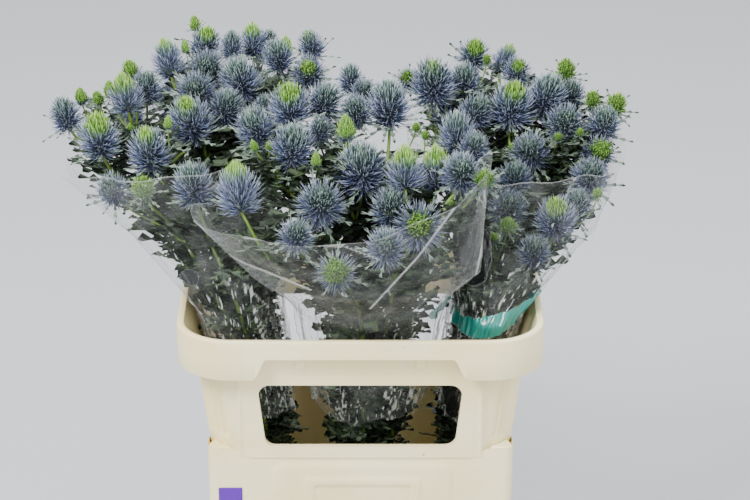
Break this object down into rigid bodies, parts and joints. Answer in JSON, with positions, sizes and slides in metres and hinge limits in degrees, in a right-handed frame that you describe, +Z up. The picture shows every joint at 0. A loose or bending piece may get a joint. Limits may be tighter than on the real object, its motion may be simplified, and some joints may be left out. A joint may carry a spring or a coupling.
{
  "type": "flower bucket with sleeved sea holly",
  "caption": "Rectangular cream plastic flower bucket with a windowed collar, holding upright bunches of spiny blue-green sea holly in clear film sleeves, with water in the bottom.",
  "frame": {"origin": "centre of the bucket's flat underside", "axes": "+Z up, +X along the bucket's long side to the right of someone facing its front, +Y from its front to its back"},
  "size_m": [0.6575, 0.4563, 0.7013],
  "materials": {
    "cream_plastic": "satin, scuffed",
    "water": "clear",
    "purple_label": "plain, satin",
    "clear_film": "clear, creased",
    "sea_holly": "matt, silvery blue-green"
  },
  "bodies": {
    "root": {"bucket": "cream_plastic", "collar": "cream_plastic", "water": "water", "bucket_label": "purple_label", "sleeve_left": "clear_film", "sleeve_middle": "clear_film", "sleeve_right": "clear_film", "spray_left_01": "sea_holly", "spray_left_02": "sea_holly", "spray_left_03": "sea_holly", "spray_left_04": "sea_holly", "spray_left_05": "sea_holly", "spray_left_06": "sea_holly", "spray_left_07": "sea_holly", "spray_left_08": "sea_holly", "spray_left_09": "sea_holly", "spray_left_10": "sea_holly", "spray_left_11": "sea_holly", "spray_left_12": "sea_holly", "spray_middle_01": "sea_holly", "spray_middle_02": "sea_holly", "spray_middle_03": "sea_holly", "spray_middle_04": "sea_holly", "spray_middle_05": "sea_holly", "spray_middle_06": "sea_holly", "spray_middle_07": "sea_holly", "spray_middle_08": "sea_holly", "spray_middle_09": "sea_holly", "spray_middle_10": "sea_holly", "spray_middle_11": "sea_holly", "spray_middle_12": "sea_holly", "spray_right_01": "sea_holly", "spray_right_02": "sea_holly", "spray_right_03": "sea_holly", "spray_right_04": "sea_holly", "spray_right_05": "sea_holly", "spray_right_06": "sea_holly", "spray_right_07": "sea_holly", "spray_right_08": "sea_holly", "spray_right_09": "sea_holly", "spray_right_10": "sea_holly", "spray_right_11": "sea_holly", "spray_right_12": "sea_holly"}
  },
  "joints": []
}
